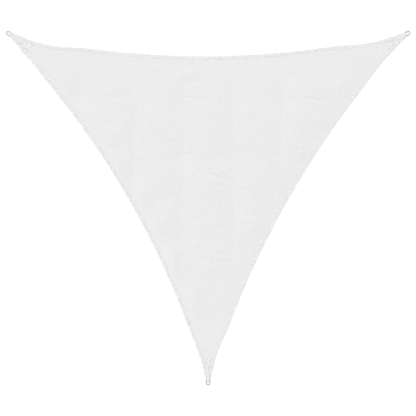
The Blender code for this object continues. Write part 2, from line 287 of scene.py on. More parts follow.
def corner_along(edge, at_start, insets):
    """How far along an edge its inset lines meet the same inset lines of its neighbour at one end."""
    length = edge_frame(edge)[3]
    neighbour = EDGES[edge.start - 1] if at_start else EDGES[edge.end]
    near = np.zeros_like(insets)
    far = np.full_like(insets, 0.6 * length)
    for _ in range(HALVINGS):
        trial = (near + far) / 2
        along = trial if at_start else length - trial
        outside = inset_from(neighbour, edge_point(edge, along, insets)) < insets
        near = np.where(outside, trial, near)
        far = np.where(outside, far, trial)
    return near if at_start else length - near


def inset_lines(edge, insets, shares):
    """Points of an edge's inset lines at shares of their length, a row each, and how far along they are."""
    first = corner_along(edge, True, insets)[:, None]
    last = corner_along(edge, False, insets)[:, None]
    along = first + (last - first) * shares
    points = edge_point(edge, along, insets[:, None])
    arriving, following = EDGES[edge.start - 1], EDGES[edge.end]
    start = (points[:, 0] + edge_point(arriving, corner_along(arriving, False, insets), insets)) / 2
    end = (points[:, -1] + edge_point(following, corner_along(following, True, insets), insets)) / 2
    share = shares[None, :, None]
    points = points + (start - points[:, 0])[:, None] * (1 - share) + (end - points[:, -1])[:, None] * share
    return points, along


def leaned(points):
    """Points of the straight sail, moved with the tips that lie bent to one side."""
    moved = points.copy()
    for corner in CORNERS:
        share = np.minimum(np.linalg.norm(points - straight_ring(corner), axis=-1) / LEAN_REACH, 1)
        moved += side_at(corner) * corner.lean * (np.cos(np.pi / 2 * share) ** 2)[..., None]
    return moved


def tip_direction(corner):
    """The direction in along a tip as it lies, from its ring."""
    inner = leaned(straight_ring(corner) + inward_at(corner) * LOOP_END_X)
    return unit(inner - ring_place(corner))


def raised(plan, height):
    """Places in the plan with their heights, or all at one height."""
    return np.concatenate([plan, np.broadcast_to(height, plan.shape[:-1])[..., None]], axis=-1)


def ring_distances(points):
    """How far points are from each corner's ring."""
    return [np.linalg.norm(points - ring_place(corner), axis=-1) for corner in CORNERS]


def from_rings(points):
    """How far points are from the nearest ring."""
    return np.min(ring_distances(points), axis=0)


# ---- Relief ----
def smooth_step(value, low, high):
    share = np.clip((value - low) / (high - low), 0, 1)
    return share * share * (3 - 2 * share)


def turned(points, x, y, degrees):
    """Points in the frame of a fold: along it and across it."""
    angle = math.radians(degrees)
    offset = points - np.array([x, y])
    along = offset[..., 0] * math.cos(angle) + offset[..., 1] * math.sin(angle)
    across = offset[..., 1] * math.cos(angle) - offset[..., 0] * math.sin(angle)
    return along, across


def bulge_height(bulges, places):
    """The height of the bulge in which each place lies, the folds between them blunted."""
    total = np.zeros_like(places)
    shifts = (-FOLD_BLUNT, 0, FOLD_BLUNT)
    for start, end, rise in bulges:
        for shift in shifts:
            share = (places + shift - start) / (end - start)
            total += 4 * rise * np.clip(share * (1 - share), 0, None) / len(shifts)
    return total


def pucker_height(points, number, along, reach, crest, foot, rise):
    """The height of one pucker, drawn out along its hem and sloping down into the panel."""
    start, direction = edge_frame(EDGES[number])[:2]
    share = np.clip(((points - start) @ direction - along) / reach, -1, 1)
    inset = inset_from(EDGES[number], points)
    up = smooth_step(inset, PANEL_INSET, crest)
    return rise * (1 - share**2) ** 2 * up * (1 - smooth_step(inset, crest, foot))


def crease_depth(points, x, y, length, width, turn, bow, depth):
    """A trough with a bowed line, deepest in its middle, its bed narrower than its mouth."""
    along, across = turned(points, x, y, turn)
    share = np.clip(1 - (along / length) ** 2, 0, None)
    off = np.abs(across - bow * share) / width
    return depth * share**2 * np.clip(1 - off, 0, None) ** 2 * (1 + 2 * off)


def noise_field(points, wavelength, seed):
    """Smooth noise from -1 to 1 over points of two coordinates."""
    flat = points.reshape(-1, 2) / wavelength
    values = [noise.noise(Vector((x, y, seed))) for x, y in flat.tolist()]
    return np.array(values).reshape(points.shape[:-1])


def mottle_height(points):
    """The general unevenness of cloth that has been folded up and laid out again."""
    along, across = turned(points, 0, 0, MOTTLE_TURN)
    stretched = np.stack([along / MOTTLE_STRETCH, across], axis=-1)
    return sum(
        height * (0.5 + 0.5 * noise_field(stretched, wavelength, 7.3 + i))
        for i, (wavelength, height) in enumerate(MOTTLE)
    )


def track_of(along, beside):
    """Points for noise along an edge, a track for each edge and use."""
    return np.stack([along, np.full_like(along, beside)], axis=-1)


def gather(number, along):
    """The small gathers along the seam of an edge, from 0 to 1."""
    track = track_of(along, 3.1 * number)
    fine = noise_field(track, GATHER_PITCH, 1.7)
    coarse = noise_field(track, 5 * GATHER_PITCH, 4.9)
    return np.clip(0.5 + 0.9 * fine, 0, 1.2) * (0.7 + 0.6 * coarse)


def calmed(points):
    """The share of the panel's relief that is left near the tips, where the cloth lies flat."""
    distances = ring_distances(points)
    return np.prod([smooth_step(d, TIP_FLAT, corner.calm) for d, corner in zip(distances, CORNERS)], axis=0)


def tip_lift(points):
    return TIP_LIFT * (1 - smooth_step(from_rings(points), TIP_FLAT, TIP_RAMP))


def panel_height(points, insets, alongs, numbers):
    """How high the underside of the panel is above the ground."""
    bulges = bulge_height(BULGES_ACROSS, points[..., 0]) + bulge_height(BULGES_UP, points[..., 1])
    for edge in EDGES:
        bulges = bulges * smooth_step(inset_from(edge, points), PANEL_INSET, edge.ease)
    puckers = sum(pucker_height(points, *row) for row in PUCKERS)
    loose = smooth_step(insets, PANEL_INSET, LOOSE_AT)
    creases = sum(crease_depth(points, *row) for row in CREASES)
    uneven = bulges + puckers + (mottle_height(points) - creases) * loose
    off_ground = (uneven + np.sqrt(uneven**2 + (SOFT_FLOOR * loose) ** 2)) / 2
    gathers = np.select([numbers == n for n in range(3)], [gather(n, alongs) for n in range(3)])
    beside_seam = np.exp(-np.clip(insets - PANEL_INSET, 0, None) / GATHER_REACH)
    beside_seam *= smooth_step(insets, PANEL_INSET, PANEL_INSET + GATHER_START)
    small = GATHER_RISE * gathers * beside_seam * smooth_step(from_rings(points), *BEYOND_PATCH)
    return tip_lift(points) + off_ground * calmed(points) + small


# ---- Materials ----
class Shade:
    """A material's node tree, built up by short calls."""

    def __init__(self, name, colour, roughness, metallic=0.0):
        self.material = bpy.data.materials.new(name)
        self.material.use_nodes = True
        self.tree = self.material.node_tree
        self.shader = self.tree.nodes["Principled BSDF"]
        self.colour = (*colour, 1.0)
        for key, value in (("Base Color", self.colour), ("Roughness", roughness), ("Metallic", metallic)):
            self.shader.inputs[key].default_value = value

    def node(self, kind, output=0, values=(), settings=None, **inputs):
        """A node's output. Inputs come in order or by name, as numbers or as other nodes' outputs."""
        made = self.tree.nodes.new(kind)
        for key, value in (settings or {}).items():
            setattr(made, key, value)
        wired = list(zip(made.inputs, values)) + [(made.inputs[key], value) for key, value in inputs.items()]
        for socket, value in wired:
            if isinstance(value, bpy.types.NodeSocket):
                self.tree.links.new(value, socket)
            else:
                socket.default_value = value
        return made.outputs[output]

    def math(self, operation, *values):
        return self.node("ShaderNodeMath", values=values, settings={"operation": operation})

    def times(self, one, other):
        return self.math("MULTIPLY", one, other)

    def wave(self, turns):
        """From 1 down to 0 and back over each whole turn."""
        cosine = self.math("COSINE", self.times(turns, 2 * math.pi))
        return self.math("MULTIPLY_ADD", cosine, 0.5, 0.5)

    def ramp(self, value, low, high, new_low=0.0, new_high=1.0):
        """A value eased from one range to another."""
        values = (value, low, high, new_low, new_high)
        return self.node("ShaderNodeMapRange", values=values, settings={"interpolation_type": "SMOOTHSTEP"})

    def place(self, turn=0.0, squeeze=1.0):
        """Object coordinates in metres, turned about Z and then scaled along X."""
        coordinates = self.node("ShaderNodeTexCoord", "Object")
        rotation = (0, 0, math.radians(turn))
        turned_about = self.node("ShaderNodeMapping", Vector=coordinates, Rotation=rotation)
        return self.node("ShaderNodeMapping", Vector=turned_about, Scale=(squeeze, 1.0, 1.0))

    def split(self, vector):
        made = self.tree.nodes.new("ShaderNodeSeparateXYZ")
        self.tree.links.new(vector, made.inputs[0])
        return made.outputs

    def noise(self, vector, wavelength, detail=1.0, roughness=0.5):
        settings = {"Scale": 1 / wavelength, "Detail": detail, "Roughness": roughness}
        return self.node("ShaderNodeTexNoise", "Fac", Vector=vector, **settings)

    def bump(self, height, distance, normal=None):
        under = {} if normal is None else {"Normal": normal}
        return self.node("ShaderNodeBump", Height=height, Distance=distance, **under)

    def tint(self, factor):
        """The base colour times a factor."""
        made = self.tree.nodes.new("ShaderNodeMix")
        made.data_type = "RGBA"
        made.blend_type = "MULTIPLY"
        made.inputs["Factor"].default_value = 1.0
        made.inputs[6].default_value = self.colour
        grey = self.node("ShaderNodeCombineColor", Red=factor, Green=factor, Blue=factor)
        self.tree.links.new(grey, made.inputs[7])
        return self.drive("Base Color", made.outputs[2])

    def drive(self, key, value):
        """Links a value to the shader."""
        self.tree.links.new(value, self.shader.inputs[key])
        return self.material


KNIT_WALE = 0.0030  # between two upright chains of the knit
KNIT_COURSE = 0.0024  # between two rows of loops
KNIT_RISE = 0.00012  # of the chains above the gaps between them
UNEVEN_PITCH = 0.024  # of lighter and darker yarn
BLOTCH_PITCH = 0.120  # of the faint clouds over the whole cloth
WRINKLE_PITCH, WRINKLE_RISE = 0.036, 0.0030
CRINKLE_PITCH, CRINKLE_RISE = 0.017, 0.0020
MOIRE_PITCH = 0.018
MOIRE_TURN = 27
MOIRE_STRONG = 0.16  # on the left hem and the patches
MOIRE_WEAK = 0.11  # on the other hems


def moire(shade, depth):
    """Two layers of the open knit look lighter and darker in spots, where their holes meet or don't."""
    drift = shade.noise(shade.place(), 4 * MOIRE_PITCH, 1.0)
    spots = shade.noise(shade.place(), MOIRE_PITCH, 1.0)
    x, y, _ = shade.split(shade.place(MOIRE_TURN))
    bars = []
    for run, pitch in ((x, MOIRE_PITCH), (y, 0.8 * MOIRE_PITCH)):
        bent = shade.math("MULTIPLY_ADD", drift, 6 * MOIRE_PITCH, run)
        bars.append(shade.math("COSINE", shade.times(bent, 2 * math.pi / pitch)))
    mixed = shade.math("MULTIPLY_ADD", shade.times(*bars), 0.25, spots)
    return shade.ramp(mixed, 0.15, 0.85, 1 - depth, 1 + depth)


def knit(name, colour, grain, spots=0.0):
    """Warp-knitted cloth: upright chains of loops with tapes laid in a zigzag between them, with painted
    shade in the gaps.
    """
    shade = Shade(name, colour, 0.88)
    x, y, _ = shade.split(shade.place(grain))
    wale = shade.math("DIVIDE", x, KNIT_WALE)
    course = shade.math("DIVIDE", y, KNIT_COURSE)
    chain = shade.math("POWER", shade.wave(wale), 2.0)
    zigzag = shade.math("ADD", course, shade.math("PINGPONG", wale, 0.5))
    tape = shade.times(shade.wave(zigzag), 0.8)
    height = shade.math("MAXIMUM", chain, tape)
    # Painted shade: the gaps between the chains and tapes are drawn darker, and the chain tops a little
    # lighter.
    painted_gap_shade = shade.ramp(height, 0.10, 0.34, 0.84, 1.03)
    uneven = shade.noise(shade.place(grain), UNEVEN_PITCH, 2.0)
    blotch = shade.noise(shade.place(MOTTLE_TURN, 0.6), BLOTCH_PITCH, 2.0)
    factor = shade.times(painted_gap_shade, shade.ramp(uneven, 0.25, 0.75, 0.985, 1.015))
    factor = shade.times(factor, shade.ramp(blotch, 0.25, 0.75, 0.996, 1.004))
    if spots:
        factor = shade.times(factor, moire(shade, spots))
    shade.tint(factor)
    wrinkle = shade.noise(shade.place(MOTTLE_TURN, 0.55), WRINKLE_PITCH, 2.0, 0.55)
    crinkle = shade.noise(shade.place(MOTTLE_TURN, 0.7), CRINKLE_PITCH, 1.0)
    normal = shade.bump(crinkle, CRINKLE_RISE, shade.bump(wrinkle, WRINKLE_RISE))
    return shade.drive("Normal", shade.bump(height, KNIT_RISE, normal))


WEBBING_RIB = 0.0014  # between two ribs
WEBBING_WEFT = 0.0019  # between two weft threads
TWIST_RATE = 9000.0  # of the thread's twist, in radians a metre
WIRE_MARKS = 0.0006  # between the marks that drawing left on the wire
WIRE_DULL = 0.009  # across its dulled places


def webbing_material():
    """Woven band: fine ribs along it, crossed by the weft, its coordinates laid out along the band, with
    painted shade in the hollows of the weave.
    """
    shade = Shade("white_webbing_weave", (0.81, 0.81, 0.81), 0.72)
    u, v, _ = shade.split(shade.node("ShaderNodeUVMap", settings={"uv_map": "band"}))
    across = shade.math("DIVIDE", u, WEBBING_RIB)
    along = shade.math("DIVIDE", v, WEBBING_WEFT)
    weft = shade.wave(shade.math("ADD", along, shade.math("PINGPONG", across, 1.0)))
    rib = shade.math("ABSOLUTE", shade.math("SINE", shade.times(across, math.pi)))
    height = shade.times(rib, shade.math("MULTIPLY_ADD", weft, 0.5, 0.5))
    # Painted shade: the hollows between ribs and weft are drawn darker, and their tops a little lighter.
    shade.tint(shade.ramp(height, 0.0, 0.6, 0.80, 1.04))
    return shade.drive("Normal", shade.bump(height, 0.0002))


def thread_material():
    """Twisted sewing thread, with painted shade in the grooves of its twist."""
    shade = Shade("white_thread", (0.70, 0.70, 0.69), 0.55)
    x, y, z = shade.split(shade.place())
    along = shade.math("ADD", shade.math("ADD", x, y), z)
    twist = shade.math("SINE", shade.times(along, TWIST_RATE))
    height = shade.math("MULTIPLY_ADD", twist, 0.5, 0.5)
    # Painted shade: the grooves of the twist are drawn darker, and the ridges a little lighter.
    shade.tint(shade.ramp(height, 0.0, 1.0, 0.88, 1.03))
    return shade.drive("Normal", shade.bump(height, 0.00008))


def steel_material():
    """Stainless wire with faint drawing marks and handling dulling."""
    shade = Shade("brushed_stainless", (0.46, 0.46, 0.465), 0.27, 1.0)
    dull = shade.noise(shade.place(), WIRE_DULL, 3.0)
    marks = shade.noise(shade.place(40, 0.15), WIRE_MARKS, 2.0)
    rough = shade.ramp(dull, 0.3, 0.7, 0.20, 0.40)
    shade.drive("Roughness", rough)
    shade.tint(shade.ramp(marks, 0.2, 0.8, 0.90, 1.05))
    return shade.drive("Normal", shade.bump(marks, 0.00002))


def floor_material():
    shade = Shade("pale_floor", (0.95, 0.95, 0.95), 0.9)
    cloudy = shade.noise(shade.place(), 0.9, 2.0)
    return shade.tint(shade.ramp(cloudy, 0.2, 0.8, 0.995, 1.0))


# ---- Mesh helpers ----
SHARP = 50  # degrees between two faces, from which their edge is drawn sharp


def add_object(name, data):
    obj = bpy.data.objects.new(name, data)
    bpy.context.scene.collection.objects.link(obj)
    return obj


def add_mesh(name, points, faces, material, sharp=None):
    """A smooth object. Where its faces aren't all alike, they come as a list of lists."""
    mesh = bpy.data.meshes.new(name)
    mesh.from_pydata(points.tolist(), [], faces if isinstance(faces, list) else faces.tolist())
    mesh.materials.append(material)
    mesh.shade_smooth()
    if sharp is not None:
        mesh.set_sharp_from_angle(angle=math.radians(sharp))
    return add_object(name, mesh)


def grid_faces(rows, columns, closed=False):
    """Quads between the points of a grid, row by row. Closed joins the last row to the first."""
    joined = rows if closed else rows - 1
    row, column = np.meshgrid(np.arange(joined), np.arange(columns - 1), indexing="ij")
    here = row * columns + column
    above = (row + 1) % rows * columns + column
    return np.stack([here, here + 1, above + 1, above], axis=-1).reshape(-1, 4)


def edit(obj, change):
    """Changes an object's mesh with bmesh."""
    bm = bmesh.new()
    bm.from_mesh(obj.data)
    change(bm)
    bm.to_mesh(obj.data)
    bm.free()
    obj.data.update()


def face_outwards(obj):
    edit(obj, lambda bm: bmesh.ops.recalc_face_normals(bm, faces=bm.faces[:]))
    return obj


def cut_tips(bm):
    """Cuts the cloth square across in each webbing loop."""
    for corner in CORNERS:
        inward = tip_direction(corner)
        cut = ring_place(corner) + inward * TIP_END_X
        whole = bm.verts[:] + bm.edges[:] + bm.faces[:]
        bmesh.ops.bisect_plane(bm, geom=whole, plane_co=(*cut, 0), plane_no=(*-inward, 0), clear_outer=True)


def thicken(obj, thickness):
    solid = obj.modifiers.new("thickness", "SOLIDIFY")
    solid.thickness = thickness
    solid.offset = 1.0


def dress(obj, slot, *nodes):
    """A finished piece rides with the sail and stands for its solids."""
    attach(obj, "root")
    if nodes:
        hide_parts(*nodes)
    return obj


# ---- Panel ----
def graded_shares(steps, first=0.25, growth=0.25):
    """Shares of a side from 0 to 1, in steps that are shorter near its corners."""
    place = np.arange(steps)
    sizes = np.minimum(1.0, first + growth * np.minimum(place, steps - 1 - place))
    return np.concatenate([[0.0], np.cumsum(sizes) / sizes.sum()])


def lattice_index(first, second):
    """The number of a lattice point from its steps from edge 0 and from edge 1."""
    return first * (PANEL_STEPS + 1) - first * (first - 1) // 2 + second


def panel_lattice():
    """A triangular lattice whose rows follow the bowed edges: places, insets, how far along, which edge."""
    rows = PANEL_STEPS // 3
    deepest = min(float(inset_from(edge, MIDDLE)) for edge in EDGES)
    insets = PANEL_INSET + (deepest - PANEL_INSET) * np.arange(rows) / rows
    insets = np.concatenate([[PANEL_RIM], insets])
    count = (PANEL_STEPS + 1) * (PANEL_STEPS + 2) // 2
    plan = np.tile(MIDDLE, (count, 1))
    depth = np.full(count, deepest)
    distance = np.zeros(count)
    nearest = np.zeros(count, int)
    for number, edge in enumerate(EDGES):
        for row in range(rows):
            steps = PANEL_STEPS - 3 * row
            points, along = inset_lines(edge, insets[row : row + 1], graded_shares(steps))
            place = np.arange(steps + 1)
            steps_in = np.roll([np.full(steps + 1, row), row + steps - place, row + place], number, axis=0)
            spot = lattice_index(*steps_in[:2])
            plan[spot] = points[0]
            depth[spot] = insets[row]
            distance[spot] = along[0]
            nearest[spot] = number
    return leaned(plan), depth, distance, nearest


def lattice_faces():
    first, second = np.meshgrid(np.arange(PANEL_STEPS), np.arange(PANEL_STEPS), indexing="ij")
    up = first + second < PANEL_STEPS
    down = first + second < PANEL_STEPS - 1
    a, b = first[up], second[up]
    c, d = first[down], second[down]
    upright = [lattice_index(a, b), lattice_index(a + 1, b), lattice_index(a, b + 1)]
    hanging = [lattice_index(c + 1, d), lattice_index(c + 1, d + 1), lattice_index(c, d + 1)]
    return np.concatenate([np.column_stack(upright), np.column_stack(hanging)])


def build_panel(material):
    """The panel, with its folds and creases."""
    plan, depth, distance, nearest = panel_lattice()
    height = panel_height(plan, depth, distance, nearest)
    panel = add_mesh("cloth_panel", raised(plan, height), lattice_faces(), material)
    edit(panel, finish_panel)
    thicken(panel, PANEL_THICKNESS)
    return panel


def finish_panel(bm):
    cut_tips(bm)
    bmesh.ops.triangulate(bm, faces=bm.faces[:])
    bmesh.ops.recalc_face_normals(bm, faces=bm.faces[:])


# ---- Hems ----
def seam_insets(edge):
    """The rows of stitches of a hem: one that closes it, and on the left hem a second one that shows."""
    return (SEAM_INSET, SECOND_SEAM_INSET) if edge.name == "left" else (SEAM_INSET,)


HEM_SHARES = graded_shares(HEM_STEPS, first=0.1, growth=0.05)


def hem_section():
    """The hem seen from its end, as (inset, height) points round its fold, over its top and back inside."""
    top = HEM_THICKNESS + 0.0001
    fold = [
        (0.0040, 0.0000), (0.0018, 0.0001), (0.0006, 0.0004), (0.0000, 0.0010),
        (0.0003, 0.0017), (0.0013, 0.0021), (0.0032, top),
    ]
    face = [(inset, top) for inset in np.arange(0.0055, SEAM_INSET - 0.0030, 0.0022)]
    dip = [(-0.0026, 0.0), (-0.0014, 0.0002), (-0.0006, SEAM_SINK), (0.0006, SEAM_SINK), (0.0014, 0.0003)]
    seam = [(SEAM_INSET + across, top - deep) for across, deep in dip]
    inner = [
        (HEM_WIDTH + 0.0010, top - 0.0003), (HEM_WIDTH + 0.0019, top - 0.0005),
        (HEM_WIDTH + 0.0021, PANEL_THICKNESS + 0.0001),
    ]
    back = [(0.0180, PANEL_THICKNESS), (0.0041, PANEL_THICKNESS)]
    return fold + face + seam + inner + back


def groove(insets, place, width, depth):
    return -depth * np.exp(-(((insets - place) / width) ** 2))


def hem_relief(edge, insets, alongs):
    """What the gathers and the second row of stitches add to the height of the hem's top."""
    number = EDGES.index(edge)
    crown = np.sin(np.pi * np.clip(insets / SEAM_INSET, 0, 1)) ** 1.5
    beyond = smooth_step(insets, SEAM_INSET, HEM_WIDTH)
    gathers = gather(number, alongs) - 0.5
    ripple = HEM_RIPPLE * gathers * crown + 0.5 * HEM_RIPPLE * gathers * beyond
    if edge.name == "left":
        ripple += groove(insets, SECOND_SEAM_INSET, SEAM_GROOVE, SEAM_SINK)
    return np.maximum(ripple, -SEAM_SINK)


def hem_strip(edge, insets, heights):
    """Places of a hem's section along its edge, lying on the ground or lifted with the tips."""
    points, along = inset_lines(edge, insets, HEM_SHARES)
    wave = EDGE_WAVE * noise_field(track_of(along, 9.0), EDGE_WAVE_PITCH, 2.2)
    sideways = edge_point(edge, along, 1.0) - edge_point(edge, along, 0.0)
    fade = smooth_step(insets, HEM_WIDTH, 0.0)[:, None, None]
    plan = leaned(points + sideways * wave[..., None] * fade)
    insets_all = np.broadcast_to(insets[:, None], along.shape)
    on_top = smooth_step(heights, *FOLD_TOP)[:, None]
    height = heights[:, None] + hem_relief(edge, insets_all, along) * on_top
    return raised(plan, tip_lift(plan) + height)


def build_hem(edge, material):
    strip = hem_strip(edge, *np.array(hem_section()).T)
    faces = grid_faces(*strip.shape[:2], closed=True)
    hem = add_mesh(f"hem_{edge.name}", strip.reshape(-1, 3), faces, material)
    edit(hem, finish_hem)
    return hem


def finish_hem(bm):
    cut_tips(bm)
    bmesh.ops.holes_fill(bm, edges=[edge for edge in bm.edges if edge.is_boundary])
    bmesh.ops.triangulate(bm, faces=[face for face in bm.faces if len(face.verts) > 4])
    bmesh.ops.recalc_face_normals(bm, faces=bm.faces[:])


# ---- Stitches ----
STITCH_SHARES = (0.0, 0.18, 0.5, 0.82, 1.0)  # rings of points along one stitch
STITCH_SIZES = (0.35, 0.9, 1.0, 0.9, 0.35)
STITCH_LIFTS = (-0.9, 0.1, 0.6, 0.1, -0.9)  # in thread radii
STITCH_SIDES = 6


def stitch_faces():
    """The faces of one stitch, between its rings of points and over its ends."""
    faces = []
    for here in range(0, (len(STITCH_SHARES) - 1) * STITCH_SIDES, STITCH_SIDES):
        there = here + STITCH_SIDES
        for side in range(STITCH_SIDES):
            after = (side + 1) % STITCH_SIDES
            faces.append([here + side, here + after, there + after])
            faces.append([here + side, there + after, there + side])
    last = (len(STITCH_SHARES) - 1) * STITCH_SIDES
    for side in range(1, STITCH_SIDES - 1):
        faces.append([0, side + 1, side])
        faces.append([last, last + side, last + side + 1])
    return np.array(faces)


def stitches(starts, ends):
    """Points and faces of a row of stitches, each a short bent thread from its start to its end."""
    line = unit(ends - starts)
    across = raised(left_of(line), 0.0)
    upright = np.cross(line, across)
    angles = 2 * np.pi * np.arange(STITCH_SIDES) / STITCH_SIDES
    rings = []
    for share, size, lift in zip(STITCH_SHARES, STITCH_SIZES, STITCH_LIFTS):
        centre = starts + (ends - starts) * share + upright * lift * THREAD_RADIUS
        for angle in angles:
            out = across * math.cos(angle) + upright * math.sin(angle)
            rings.append(centre + out * size * THREAD_RADIUS)
    points = np.stack(rings, axis=1)
    faces = stitch_faces()[None] + points.shape[1] * np.arange(len(points))[:, None, None]
    return points.reshape(-1, 3), faces.reshape(-1, 3)


def run_along(path):
    """How far each point of a path is from its start."""
    return np.concatenate([[0.0], np.cumsum(np.linalg.norm(np.diff(path, axis=0), axis=1))])


def stitched_line(path, length=STITCH_LENGTH, gap=STITCH_GAP):
    """Starts and ends of the stitches along a path of points."""
    run = run_along(path)
    count = max(1, int(run[-1] / (length + gap)))
    places = np.arange(count) * run[-1] / count
    starts = np.stack([np.interp(places, run, path[:, k]) for k in range(3)], axis=-1)
    ends = np.stack([np.interp(places + length, run, path[:, k]) for k in range(3)], axis=-1)
    return starts, ends


def add_stitches(name, rows, material):
    """One mesh of all the stitches of these (starts, ends) rows."""
    starts, ends = (np.concatenate(column) for column in zip(*rows))
    return add_mesh(name, *stitches(starts, ends), material)


def outside_loops(path):
    """The part of a path that isn't under the webbing."""
    return path[from_rings(path[:, :2]) > LOOP_END_X + CLEAR_OF_LOOP]


def hem_stitches(edge, material):
    rows = []
    for inset in seam_insets(edge):
        path = hem_strip(edge, np.array([inset]), np.array([HEM_THICKNESS]))[0]
        path[:, 2] += THREAD_RADIUS * THREAD_LIFT - (SEAM_SINK if inset == SEAM_INSET else 0.0)
        rows.append(stitched_line(outside_loops(path)))
    return add_stitches(f"hem_stitches_{edge.name}", rows, material)


# ---- Corner patches ----
PATCH_ROWS = 46
PATCH_COLUMNS = 40
PATCH_BASE = TIP_LIFT + PANEL_THICKNESS + GAP
PATCH_FOLD = (0.013, 0.010)  # from its edges, where the cloth that is turned under runs out
PATCH_FOLD_RISE = 0.0004
PATCH_SEAM = 0.005  # from its edges to the row of stitches round it
PATCH_CROSS_SEAMS = (0.020, 0.035)  # from its wide end to the rows across it
CROSS_GROOVE, CROSS_SINK = 0.0020, 0.0006  # half the width and the depth of their dips
PATCH_QUILT_PITCH, PATCH_QUILT_RISE = 0.035, 0.0004
PATCH_QUILT = (0.004, 0.016)  # from its edges, where the quilting begins and is full
PATCH_ROUNDING = (0.0012, 0.0005)  # of its edges, in and down


def patch_place(index, reach, share):
    """Plan places on a patch: reach along its hems from its narrow end, share from one hem to the other."""
    arriving, leaving = EDGES[index - 1], EDGES[index]
    inset = np.array([PANEL_INSET + GAP])
    first = corner_along(leaving, True, inset) + PATCH_NOSE
    last = corner_along(arriving, False, inset) - PATCH_NOSE
    one = edge_point(leaving, first + reach, inset)
    other = edge_point(arriving, last - reach, inset)
    return leaned(one + (other - one) * share[..., None])


def patch_grid(index):
    reach, share = np.meshgrid(
        np.linspace(0, PATCH_LENGTH, PATCH_ROWS), np.linspace(0, 1, PATCH_COLUMNS), indexing="ij"
    )
    return reach, share, patch_place(index, reach, share)


def patch_width(index, reach):
    ends = patch_place(index, np.array([reach, reach]), np.array([0.0, 1.0]))
    return float(np.linalg.norm(ends[1] - ends[0]))


def build_patch(index, material):
    """The second layer of cloth, its edges turned under and drawn down along its stitches."""
    reach, share, plan = patch_grid(index)
    width = np.array([patch_width(index, r) for r in reach[:, 0]])[:, None]
    rim = np.minimum(np.minimum(share, 1 - share) * width, PATCH_LENGTH - reach)
    turned_in = PATCH_FOLD_RISE * smooth_step(rim, *PATCH_FOLD)
    drawn = groove(rim, PATCH_SEAM, SEAM_GROOVE, SEAM_SINK)
    quilt = PATCH_QUILT_RISE * noise_field(plan, PATCH_QUILT_PITCH, 6.1) * smooth_step(rim, *PATCH_QUILT)
    ends = sum(groove(PATCH_LENGTH - reach, back, CROSS_GROOVE, CROSS_SINK) for back in PATCH_CROSS_SEAMS)
    top = PATCH_THICKNESS + np.maximum(turned_in + drawn + quilt + ends + 0.0001, -CROSS_SINK)
    rounding = PATCH_ROUNDING[1] * smooth_step(rim, PATCH_ROUNDING[0], 0.0)
    upper, lower = raised(plan, PATCH_BASE + top - rounding), raised(plan, PATCH_BASE)
    faces = grid_faces(PATCH_ROWS, PATCH_COLUMNS)
    count = PATCH_ROWS * PATCH_COLUMNS
    rim_loop = rim_indices(PATCH_ROWS, PATCH_COLUMNS)
    sides = [(a, b, b + count, a + count) for a, b in zip(rim_loop, rim_loop[1:] + rim_loop[:1])]
    points = np.concatenate([upper.reshape(-1, 3), lower.reshape(-1, 3)])
    faces = np.concatenate([faces, faces[:, ::-1] + count, np.array(sides)])
    return face_outwards(add_mesh(f"patch_{CORNERS[index].name}", points, faces, material, sharp=SHARP))


def rim_indices(rows, columns):
    """The numbers of a grid's border points, in order round it."""
    first = list(range(columns))
    right = [row * columns + columns - 1 for row in range(1, rows)]
    last = [(rows - 1) * columns + column for column in range(columns - 2, -1, -1)]
    left = [row * columns for row in range(rows - 2, 0, -1)]
    return first + right + last + left


def patch_stitches(index, material):
    """Rows along both sides of a patch and three rows across its wide end."""
    reach = np.linspace(0.004, PATCH_LENGTH - PATCH_SEAM, 60)
    near = PATCH_SEAM / np.array([patch_width(index, r) for r in reach])
    plans = [patch_place(index, reach, near), patch_place(index, reach, 1 - near)]
    for back in (PATCH_SEAM, *PATCH_CROSS_SEAMS):
        spot = PATCH_LENGTH - back
        margin = PATCH_SEAM / patch_width(index, spot)
        share = np.linspace(margin, 1 - margin, 20)
        plans.append(patch_place(index, np.full(len(share), spot), share))
    height = PATCH_BASE + PATCH_THICKNESS + 0.0001
    rows = [stitched_line(raised(plan, height)) for plan in plans]
    return add_stitches(f"patch_stitches_{CORNERS[index].name}", rows, material)


# ---- Webbing loops ----
def corner_to_sail(corner, points):
    """Points in a corner's own frame, X in from the ring's centre, moved to where the corner lies."""
    inward = tip_direction(corner)
    plan = ring_place(corner) + points[..., :1] * inward + points[..., 1:2] * left_of(inward)
    return raised(plan, points[..., 2])


def loop_profile():
    """The middle of the webbing seen from the side: over the tip, round the bar and back underneath."""
    middle = WEBBING_THICKNESS / 2
    bend = WIRE_RADIUS + GAP + middle
    bar_z = middle + bend
    top_z = TIP_LIFT + HEM_THICKNESS + GAP + middle
    upper = [(x, top_z) for x in np.linspace(LOOP_END_X, TIP_END_X - 0.001, 26)]
    angles = np.radians(np.linspace(22, -180, 30))
    bent = [(BAR_X + bend * math.sin(a), bar_z + bend * math.cos(a)) for a in angles]
    lower = [(x, middle) for x in np.linspace(TIP_END_X - 0.004, LOOP_END_X, 26)]
    return np.array(upper + bent + lower)


def band_section():
    """The webbing's section, as (across, up) points round it, its edges rounded."""
    half, thick = WEBBING_WIDTH / 2, WEBBING_THICKNESS / 2
    edge = 0.0007
    flat = np.linspace(-half + edge, half - edge, 11)
    upper = [(y, thick) for y in flat]
    right = [(half - edge * 0.3, thick * 0.7), (half, 0.0), (half - edge * 0.3, -thick * 0.7)]
    return np.array(upper + right + [(-y, -z) for y, z in upper + right])


